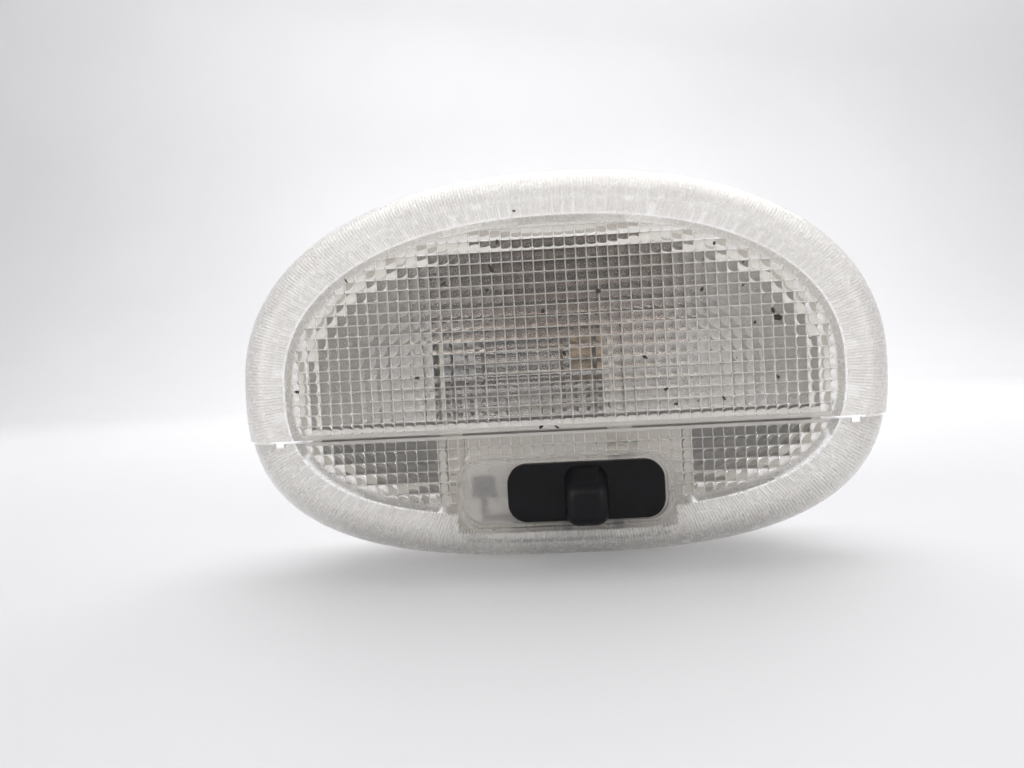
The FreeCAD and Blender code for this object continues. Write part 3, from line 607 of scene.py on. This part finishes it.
# %% Switch slider
SLIDER_X = 4.0
SLIDER_HALF = 15.55
SLIDER_TALL = 5.75
SLIDER_CORNER = 3.8
SLIDER_FRONT = -8.1
SLIDER_BACK = -5.7
SLIDER_SOFT = 0.3
KNOB_HALF = 4.3
KNOB_FRONT = -14.1
KNOB_MIDDLE = -10.0
KNOB_BACK = -6.9
KNOB_RAMP = 4.0
KNOB_TUCK = 0.7
KNOB_DROP = 0.9
KNOB_SOFT = 2.6
LEG_X = 5.0
LEG_HALF = 1.25
LEG_FRONT, LEG_BACK, LEG_TALL = -6.0, -2.4, 1.8
FOOT_FRONT, FOOT_BACK, FOOT_TALL = -3.8, -2.8, 2.7


def on_knob_front(edge):
    """True for an edge of the knob that reaches its front."""
    return min(v.co.y for v in edge.verts) < KNOB_MIDDLE * MM


slider = rounded_slab("black_slider", SLIDER_X, RECESS_Z, SLIDER_HALF, SLIDER_TALL, SLIDER_CORNER,
                      SLIDER_FRONT, SLIDER_BACK)
knob = block("knob", SLIDER_X - KNOB_HALF, SLIDER_X + KNOB_HALF, KNOB_FRONT, KNOB_BACK,
             RECESS_Z - SLIDER_TALL, RECESS_Z + SLIDER_TALL)
for vertex in knob.data.vertices:
    if vertex.co.y < KNOB_MIDDLE * MM:
        if vertex.co.z > RECESS_Z * MM:
            vertex.co.z -= KNOB_RAMP * MM
        else:
            vertex.co.y += KNOB_TUCK * MM
            vertex.co.z -= KNOB_DROP * MM
pick_edges(knob, on_knob_front)
bpy.ops.mesh.bevel(offset=KNOB_SOFT * MM, segments=8, profile=0.5, affect="EDGES", clamp_overlap=True)
bpy.ops.object.mode_set(mode="OBJECT")
combine(slider, knob, "UNION")
for end in SIDES:
    x = SLIDER_X + end * LEG_X
    for name, front, back, tall in (("leg", LEG_FRONT, LEG_BACK, LEG_TALL),
                                    ("foot", FOOT_FRONT, FOOT_BACK, FOOT_TALL)):
        limb = block(name, x - LEG_HALF, x + LEG_HALF, front, back, RECESS_Z - tall, RECESS_Z + tall)
        combine(slider, limb, "UNION")
ease_edges(slider, SLIDER_SOFT, 3)
print("slider triangles:", count(slider))

# %% [markdown]
# ## The reflector
# The reflector keeps its sheet as it is. A flat rolled edge is added round its mouth and along its
# sill, which lies on the housing's edge and closes the slit between the two.

# %% Reflector
SILL = -8.6
SILL_UNDER = 0.4
SILL_OVER = 0.5
ROLL_OUTER = 12.0
ROLL_INNER = 13.6
ROLL_FRONT = -0.9
ROLL_BACK = -0.52
rolled_edge = band("rolled_edge", ROLL_OUTER, ROLL_INNER, ROLL_BACK, ROLL_FRONT)
combine(rolled_edge, layer("above_sill", SILL, HEIGHT_LIMIT), "INTERSECT")
sill_edge = oval_slab("sill_edge", ROLL_OUTER, ROLL_FRONT, ROLL_BACK)
combine(sill_edge, layer("sill_slice", SILL - SILL_UNDER, SILL + SILL_OVER), "INTERSECT")
combine(rolled_edge, sill_edge, "UNION")
only(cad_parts["reflector"])
bpy.ops.object.duplicate()
reflector = named("bright_reflector")
rolled_edge.select_set(True)
bpy.ops.object.join()
print("reflector triangles:", count(reflector))

# %% [markdown]
# ## The filament
# A festoon bulb's filament is a fine coil strung between two wires. A curve is wound round the
# bulb's axis and given a round section, then made a mesh.

# %% Filament
BULB = Vector((-8.0, 6.0, 4.0))
TURNS_OF_WIRE = 26
POINTS_A_TURN = 10
COIL_POINTS = TURNS_OF_WIRE * POINTS_A_TURN
COIL_HALF = 6.0
COIL_RADIUS = 0.36
WIRE_RADIUS = 0.09
nothing_selected()
bpy.ops.curve.primitive_nurbs_path_add()
coil = named("coiled_filament")
coil.data.splines.clear()
spline = coil.data.splines.new("NURBS")
spline.points.add(COIL_POINTS)
for i, point in enumerate(spline.points):
    turn = 2 * math.pi * i / POINTS_A_TURN
    along = -COIL_HALF + 2 * COIL_HALF * i / COIL_POINTS
    offset = Vector((along, COIL_RADIUS * math.cos(turn), COIL_RADIUS * math.sin(turn)))
    point.co = (*((BULB + offset) * MM), 1)
spline.order_u = 3
spline.use_endpoint_u = True
coil.data.bevel_depth = WIRE_RADIUS * MM
coil.data.bevel_resolution = 1
coil.data.resolution_u = 2
only(coil)
bpy.ops.object.convert(target="MESH")
coil = bpy.context.object
settle(coil)
print("filament triangles:", count(coil))

# %% [markdown]
# ## Dirt
# Years of use have left specks of dirt on the face. Each is a low ball, drawn out, turned and sunk
# halfway into the lens, so that it lies on the plastic from every side. They are joined to one piece.
# A speck is listed by its column and row in the frame and its size.

# %% Dirt specks
SPECK_RADIUS = 0.34
SPECK_FLATNESS = 0.12
SPECK_DRAWN = 0.5
WOBBLE = 0.3
SPECKS = [
    (497, 242, 1.0), (491, 269, 1.8), (443, 284, 1.3), (543, 311, 1.0), (417, 378, 1.6),
    (425, 376, 1.1), (297, 392, 1.0), (514, 211, 0.7), (346, 281, 0.9), (598, 291, 1.3),
    (702, 289, 1.3), (701, 298, 1.0), (773, 310, 1.6), (778, 317, 1.7), (743, 285, 0.8),
    (564, 353, 1.0), (645, 357, 1.1), (737, 358, 1.0), (810, 338, 0.8), (778, 377, 0.8),
    (724, 398, 1.0), (743, 262, 0.7), (714, 243, 0.8), (676, 404, 1.6), (698, 401, 1.0),
    (666, 389, 0.9), (541, 427, 1.0), (557, 427, 1.0), (487, 290, 0.9), (755, 322, 1.0),
]


def on_face(u, v):
    """Where the camera's ray through a pixel of the frame meets the flat front of the lens."""
    ray = Vector((u - FRAME_WIDTH / 2, FRAME_HEIGHT / 2 - v, -FOCAL_PIXELS))
    ray = camera.matrix_world.to_3x3() @ ray
    start = camera.matrix_world.translation
    return start + ray * ((FRONT * MM - start.y) / ray.y)


specks = []
for i, (u, v, size) in enumerate(SPECKS):
    nothing_selected()
    radius = SPECK_RADIUS * size * MM
    bpy.ops.mesh.primitive_ico_sphere_add(subdivisions=2, radius=radius, location=on_face(u, v))
    speck = named("speck")
    for vertex in speck.data.vertices:
        wave = math.sin(vertex.co.x * 9000 + i) * math.cos(vertex.co.z * 7000 + 2 * i)
        vertex.co *= 1 + WOBBLE * wave
    speck.scale = (1.0 + SPECK_DRAWN * math.sin(i), SPECK_FLATNESS,
                   1.0 + SPECK_DRAWN * math.cos(2 * i))
    speck.rotation_euler = (0, 1.3 * i, 0)
    settle(speck)
    specks.append(speck)
nothing_selected()
for speck in specks:
    speck.select_set(True)
bpy.context.view_layer.objects.active = specks[0]
bpy.ops.object.join()
dirt = named("dirt_specks")
print("specks:", len(SPECKS))

# %% [markdown]
# ## Tools for finishes
# Each finish is a small node tree on object coordinates. Opaque plastic and metal share one recipe,
# and clear plastic and glass another: a transmitting shader with a trace of haze, which lets the
# lamps shine through.

# %% Helpers for finishes
MOTTLE_SCALE = 260.0
SHEEN_SCALE = 700.0
TINT_SCALE = 120.0
SCUFF_SCALE = 900.0
CLEAR_BENDING = 1.49
CLEAR_SHADE = (0.86, 0.85, 0.84, 1.0)
NOISE_LOW, NOISE_HIGH = 0.3, 0.7


def finish(name):
    """A new material with its nodes, its links and its main shader."""
    material = bpy.data.materials.new(name)
    material.use_nodes = True
    tree = material.node_tree
    return material, tree.nodes, tree.links, tree.nodes["Principled BSDF"]


def noise(nodes, links, scale, detail=4.0):
    place = nodes.new("ShaderNodeTexCoord")
    texture = nodes.new("ShaderNodeTexNoise")
    texture.inputs["Scale"].default_value = scale
    texture.inputs["Detail"].default_value = detail
    links.new(place.outputs["Object"], texture.inputs["Vector"])
    return texture.outputs["Fac"]


def ramp(nodes, links, source, stops):
    """Colours laid along a source that runs from nought to one."""
    blend = nodes.new("ShaderNodeValToRGB")
    links.new(source, blend.inputs["Fac"])
    while len(blend.color_ramp.elements) < len(stops):
        blend.color_ramp.elements.new(0.5)
    for element, (position, colour) in zip(blend.color_ramp.elements, stops):
        element.position = position
        element.color = (*colour, 1.0)
    return blend.outputs["Color"]


def between(nodes, links, source, low, high, first, last):
    """Runs evenly from a first to a last value while the source runs from low to high."""
    reach = nodes.new("ShaderNodeMapRange")
    links.new(source, reach.inputs["Value"])
    reach.inputs["From Min"].default_value = low
    reach.inputs["From Max"].default_value = high
    reach.inputs["To Min"].default_value = first
    reach.inputs["To Max"].default_value = last
    return reach.outputs["Result"]


def uneven(nodes, links, shader, colours, tone_scale, rough, rough_scale):
    """Gives a shader a colour and a roughness that each wander between two values."""
    tone = noise(nodes, links, tone_scale)
    stops = [(NOISE_LOW, colours[0]), (NOISE_HIGH, colours[1])]
    links.new(ramp(nodes, links, tone, stops), shader.inputs["Base Color"])
    sheen = between(nodes, links, noise(nodes, links, rough_scale), NOISE_LOW, NOISE_HIGH, *rough)
    links.new(sheen, shader.inputs["Roughness"])


def bump(nodes, links, shader, source, strength, distance):
    relief = nodes.new("ShaderNodeBump")
    relief.inputs["Strength"].default_value = strength
    relief.inputs["Distance"].default_value = distance
    links.new(source, relief.inputs["Height"])
    links.new(relief.outputs["Normal"], shader.inputs["Normal"])


def moulded(name, light, dark, rough, grain, metallic=0.0, specular=0.5):
    """An opaque moulded plastic or metal with uneven tone, sheen and a fine grain."""
    material, nodes, links, shader = finish(name)
    uneven(nodes, links, shader, (dark, light), MOTTLE_SCALE, rough, SHEEN_SCALE)
    bump(nodes, links, shader, noise(nodes, links, grain), 0.25, 0.00005)
    shader.inputs["Metallic"].default_value = metallic
    shader.inputs["Specular IOR Level"].default_value = specular
    return material


def lets_light_through(nodes, links, shader):
    """Lamps shine through a clear wall and lose a little, so a pale shadow stays."""
    path = nodes.new("ShaderNodeLightPath")
    passing = nodes.new("ShaderNodeBsdfTransparent")
    passing.inputs["Color"].default_value = CLEAR_SHADE
    either = nodes.new("ShaderNodeMixShader")
    links.new(path.outputs["Is Shadow Ray"], either.inputs["Fac"])
    links.new(shader.outputs["BSDF"], either.inputs[1])
    links.new(passing.outputs["BSDF"], either.inputs[2])
    links.new(either.outputs["Shader"], nodes["Material Output"].inputs["Surface"])


def clear(name, tint, haze, transmit, specular=0.5):
    """A clear plastic with faint scuffs."""
    material, nodes, links, shader = finish(name)
    uneven(nodes, links, shader, tint, TINT_SCALE, haze, SCUFF_SCALE)
    shader.inputs["IOR"].default_value = CLEAR_BENDING
    shader.inputs["Transmission Weight"].default_value = transmit
    shader.inputs["Specular IOR Level"].default_value = specular
    lets_light_through(nodes, links, shader)
    return material


print("noise runs from", NOISE_LOW, "to", NOISE_HIGH)

# %% [markdown]
# ## The finishes
# The lenses take five clear finishes, from polished to ribbed, which scatters most. The reflector
# is bright in the middle and dull at its ends, and a painted shade darkens its colour above the bulb.

# %% Finishes
MIDDLE_END = 24.0
DULL_FROM = 32.0
PAINTED_SHADE_PLACE = (0.0, 0.0, -0.62)
PAINTED_SHADE_SCALE = (24.0, 0.0, 44.0)
# Painted shade: the colour is dark brown round a spot above the bulb and fades to pale aluminium away
# from it.
PAINTED_SHADE_STOPS = [(0.35, (0.22, 0.17, 0.145)), (0.85, (0.56, 0.51, 0.47)), (1.0, (0.69, 0.675, 0.66))]


def reflector_with_painted_shade():
    """Aluminium, dull at the ends, with a painted shade that darkens its colour brown above the bulb.
    """
    material, nodes, links, shader = finish("aluminium_painted_shade")
    place = nodes.new("ShaderNodeTexCoord")
    around = nodes.new("ShaderNodeMapping")
    around.inputs["Location"].default_value = PAINTED_SHADE_PLACE
    around.inputs["Scale"].default_value = PAINTED_SHADE_SCALE
    links.new(place.outputs["Object"], around.inputs["Vector"])
    far = nodes.new("ShaderNodeVectorMath")
    far.operation = "LENGTH"
    links.new(around.outputs["Vector"], far.inputs[0])
    ragged = nodes.new("ShaderNodeMath")
    ragged.operation = "MULTIPLY_ADD"
    ragged.inputs[1].default_value = 0.5
    links.new(noise(nodes, links, 70.0, 2.0), ragged.inputs[0])
    links.new(far.outputs["Value"], ragged.inputs[2])
    # The base colour carries the painted shade, darkest round the spot above the bulb.
    links.new(ramp(nodes, links, ragged.outputs["Value"], PAINTED_SHADE_STOPS), shader.inputs["Base Color"])
    across = nodes.new("ShaderNodeSeparateXYZ")
    links.new(place.outputs["Object"], across.inputs["Vector"])
    aside = nodes.new("ShaderNodeMath")
    aside.operation = "ABSOLUTE"
    links.new(across.outputs["X"], aside.inputs[0])
    out = aside.outputs["Value"]
    for socket, bright, dull in (("Metallic", 0.95, 0.6), ("Roughness", 0.05, 0.22)):
        value = between(nodes, links, out, MIDDLE_END * MM, DULL_FROM * MM, bright, dull)
        links.new(value, shader.inputs[socket])
    bump(nodes, links, shader, noise(nodes, links, 1500.0), 0.15, 0.00003)
    return material


polished = clear("polished_clear", ((0.95, 0.94, 0.92), (0.98, 0.975, 0.965)), (0.02, 0.07), 0.97)
ribbed = clear("ribbed_clear", ((0.77, 0.755, 0.74), (0.82, 0.81, 0.795)), (0.28, 0.40), 0.18, 0.1)
hazy = clear("hazy_clear", ((0.94, 0.93, 0.92), (0.97, 0.965, 0.96)), (0.26, 0.34), 0.86)
satin = clear("satin_clear", ((0.94, 0.93, 0.915), (0.97, 0.96, 0.945)), (0.22, 0.30), 0.95)
frosted = clear("frosted_clear", ((0.84, 0.82, 0.80), (0.90, 0.885, 0.87)), (0.3, 0.4), 0.66)
bulb_glass = clear("bulb_glass", ((0.93, 0.93, 0.93), (0.98, 0.98, 0.98)), (0.0, 0.03), 1.0)
white_plastic = moulded("white_plastic", (0.55, 0.525, 0.49), (0.52, 0.495, 0.46), (0.4, 0.6), 2500.0)
black_plastic = moulded("black_plastic", (0.004, 0.004, 0.006), (0.002, 0.002, 0.003),
                        (0.36, 0.50), 3000.0, specular=0.25)
dirt_brown = moulded("dirt_brown", (0.06, 0.045, 0.035), (0.015, 0.012, 0.01), (0.6, 0.9), 4000.0)
reflector_metal = reflector_with_painted_shade()
dull_metal = moulded("dull_aluminium", (0.86, 0.85, 0.83), (0.78, 0.77, 0.75),
                     (0.35, 0.5), 2000.0, 0.3)
steel = moulded("spring_steel", (0.48, 0.48, 0.49), (0.34, 0.34, 0.35), (0.25, 0.42), 2000.0, 1.0)
brass = moulded("tinned_brass", (0.62, 0.59, 0.53), (0.46, 0.43, 0.38), (0.3, 0.5), 2000.0, 1.0)
dark_brass = moulded("darkened_brass", (0.13, 0.12, 0.11), (0.07, 0.065, 0.06),
                     (0.45, 0.65), 2000.0, 1.0)
cap_metal = moulded("tarnished_cap", (0.46, 0.36, 0.24), (0.26, 0.19, 0.12), (0.3, 0.5), 2000.0, 1.0)
tungsten = moulded("tungsten_wire", (0.30, 0.30, 0.31), (0.18, 0.18, 0.19), (0.3, 0.5), 3000.0, 1.0)
print("finishes:", len(bpy.data.materials))

# %% [markdown]
# ## Putting the finishes on
# The nodes that stay take their finish on the slots they already have. On a lens, a face's finish
# follows from where it lies and which way it looks: the inner side of the border is ribbed, its
# front is satin, the lands between the pillows are frosted, the recess floor is hazy and the rest
# is polished.

# %% Dress the nodes
NODE_FINISH = {
    "housing": white_plastic, "reflector_rivets": steel, "bulb_glass": bulb_glass,
    "bulb_cap_left": steel, "bulb_cap_right": cap_metal, "bulb_lead_wires": tungsten,
    "slider_contact": brass, "common_strip": brass, "supply_strip": brass, "earth_strip": brass,
    "door_strip": dark_brass, "contact_rivets": brass, "connector_shroud": black_plastic,
    "retaining_spring": steel, "spring_rivet": steel,
}
LENS_FINISHES = (polished, ribbed, hazy, satin, frosted)
POLISHED, RIBBED, HAZY, SATIN, FROSTED = range(len(LENS_FINISHES))
LAND_SHARE = 0.05
LAND_DEPTH = 0.8
LEVEL = 0.05
LOOKS_BACK = 0.1
LOOKS_FRONT = -0.3
LOOKS_INWARD = -1.0
BORDER_INSET = SKIRT - 0.5
RIBS_BACK = -0.5
SATIN_DEPTH = 4.0
RECESS_MARGIN = 1.5
EDGE_PROUD = -0.5

for node, material in NODE_FINISH.items():
    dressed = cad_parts[node]
    if not dressed.material_slots:
        dressed.data.materials.append(material)
    for slot in dressed.material_slots:
        slot.material = material


def wear(piece, *materials):
    """Puts finishes on a piece, in place of any it has."""
    piece.data.materials.clear()
    for material in materials:
        piece.data.materials.append(material)


def on_land(x, z, rows):
    """True on the narrow land between two pillows."""
    across = (x / CELL_X) % 1
    up = ((z - rows) / CELL_Z) % 1
    return min(across, 1 - across, up, 1 - up) < LAND_SHARE


def level_with(y, *depths):
    return min(abs(y - depth) for depth in depths) < LEVEL


def lens_finish(face, rows):
    """Which of the lens finishes a face takes."""
    x, y, z = face.center / MM
    look = face.normal
    if level_with(y, FLOOR, TUB_BACK) and abs(x) < RECESS_HALF:
        return HAZY
    aside = abs(x) - RECESS_HALF
    above = abs(z - RECESS_Z) - RECESS_TALL
    if max(aside, above) < RECESS_MARGIN and y < FLOOR:
        return POLISHED
    if level_with(y, SPLIT_WALL_BACK, SKIRT_BACK):
        return RIBBED
    if y < FRONT + SATIN_DEPTH and look.y < LOOKS_FRONT and not in_oval(x, z, WINDOW):
        return SATIN
    if look.y > LOOKS_BACK and INNER < y < INNER + LAND_DEPTH and on_land(x, z, rows):
        return FROSTED
    inward = look.y > LOOKS_BACK or look.x * x + look.z * z < LOOKS_INWARD
    if inward and y < RIBS_BACK and not in_oval(x, z, BORDER_INSET):
        return RIBBED
    return POLISHED


def dress_lens(piece, node, rows):
    wear(piece, *LENS_FINISHES)
    for face in piece.data.polygons:
        face.material_index = lens_finish(face, rows)
    smooth(piece, 30)
    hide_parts(node)
    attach(piece, "lamp")


dress_lens(upper_lens, "upper_lens", UPPER_ROWS)
dress_lens(lower_lens, "lower_lens", LOWER_ROWS)
wear(slider, black_plastic)
smooth(slider, 35)
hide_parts("switch_slider")
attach(slider, "slider")
wear(reflector, reflector_metal, dull_metal)
for face in reflector.data.polygons:
    face.material_index = int(face.center.y < EDGE_PROUD * MM)
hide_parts("reflector")
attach(reflector, "lamp")
wear(coil, tungsten)
smooth(coil, 60)
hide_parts("bulb_filament")
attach(coil, "lamp")
wear(dirt, dirt_brown)
smooth(dirt, 60)
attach(dirt, "lamp")
print("dressed:", len(NODE_FINISH), "nodes and 6 pieces")

# %% [markdown]
# ## The table
# The light stands on a pale table that sweeps up into a pale wall. Here sizes are in metres.

# %% Table
TABLE_SIZE = (8.0, 2.2, 1.0)
TABLE_Y = -0.1
WALL_FROM = 0.5
WALL_TALL = 1.2
SWEEP = 0.35
TABLE_TONES = [(NOISE_LOW, (0.84, 0.84, 0.86)), (NOISE_HIGH, (0.87, 0.87, 0.88))]
table_top = cad_box[0][2]


def at_rear(edge):
    return all(v.co.y > WALL_FROM for v in edge.verts)


def at_wall_foot(edge):
    return at_rear(edge) and all(abs(v.co.z - table_top) < 1e-5 for v in edge.verts)


nothing_selected()
bpy.ops.mesh.primitive_plane_add(size=1.0, location=(0, TABLE_Y, table_top))
table = named("table")
table.scale = TABLE_SIZE
settle(table)
pick_edges(table, at_rear)
bpy.ops.mesh.extrude_edges_move(TRANSFORM_OT_translate={"value": (0, 0, WALL_TALL)})
pick_edges(table, at_wall_foot)
bpy.ops.mesh.bevel(offset=SWEEP, segments=16, affect="EDGES")
bpy.ops.object.mode_set(mode="OBJECT")
smooth(table, 40)
pale, nodes, links, shader = finish("pale_table")
links.new(ramp(nodes, links, noise(nodes, links, 6.0), TABLE_TONES), shader.inputs["Base Color"])
shader.inputs["Roughness"].default_value = 0.5
wear(table, pale)
print("table top at", table_top)

# %% [markdown]
# ## The light in the room
# One wide soft lamp hangs above and a little behind, a long narrow one in front stands for a
# window, two fills stand at the sides and one lamp lights the wall. The room gives an even fill
# with a dark patch in front, so the reflector, which looks straight out, stays darker than the
# lens's edge. Where the camera looks past the table, it sees a pale backdrop.

# %% Lamps and room
MIDDLE = (0, 0, 0)
ROOM_TONE = (0.95, 0.95, 0.97)
DARK_PATCH = (0.14, 0.12, 0.11)
ROOM_STRENGTH = 0.42
COLOUR_A, COLOUR_B, COLOUR_OUT = 6, 7, 2


def area_lamp(name, place, at, width, height, watts):
    """A soft lamp that faces a given point."""
    nothing_selected()
    bpy.ops.object.light_add(type="AREA", location=place)
    lamp = bpy.context.object
    lamp.name = name
    lamp.data.shape = "RECTANGLE"
    lamp.data.size = width
    lamp.data.size_y = height
    lamp.data.energy = watts
    lamp.rotation_euler = (Vector(at) - lamp.location).to_track_quat("-Z", "Y").to_euler()


area_lamp("soft_lamp", (0.12, 0.55, 0.75), MIDDLE, 0.9, 0.6, 4.3)
area_lamp("window_light", (-0.1, -0.85, 0.4), MIDDLE, 1.3, 0.14, 2.2)
area_lamp("left_fill", (-0.7, -0.55, 0.12), MIDDLE, 0.3, 0.5, 1.6)
area_lamp("right_fill", (0.7, -0.55, 0.12), MIDDLE, 0.3, 0.5, 1.6)
area_lamp("wall_lamp", (0, 0.25, 0.95), (0, 1.1, 0.35), 1.4, 0.4, 6.0)

room = bpy.data.worlds.new("room")
scene.world = room
room.use_nodes = True
nodes = room.node_tree.nodes
links = room.node_tree.links
direction = nodes.new("ShaderNodeTexCoord")
towards = nodes.new("ShaderNodeVectorMath")
towards.operation = "DOT_PRODUCT"
towards.inputs[1].default_value = (0.0, -1.0, 0.0)
links.new(direction.outputs["Generated"], towards.inputs[0])
tone = ramp(nodes, links, towards.outputs["Value"], [(0.45, ROOM_TONE), (0.88, DARK_PATCH)])
path = nodes.new("ShaderNodeLightPath")
seen = nodes.new("ShaderNodeMix")
seen.data_type = "RGBA"
seen.inputs[COLOUR_B].default_value = (*ROOM_TONE, 1.0)
links.new(path.outputs["Is Camera Ray"], seen.inputs["Factor"])
links.new(tone, seen.inputs[COLOUR_A])
links.new(seen.outputs[COLOUR_OUT], nodes["Background"].inputs["Color"])
nodes["Background"].inputs["Strength"].default_value = ROOM_STRENGTH
print("lamps:", len(bpy.data.lights), "room strength:", ROOM_STRENGTH)
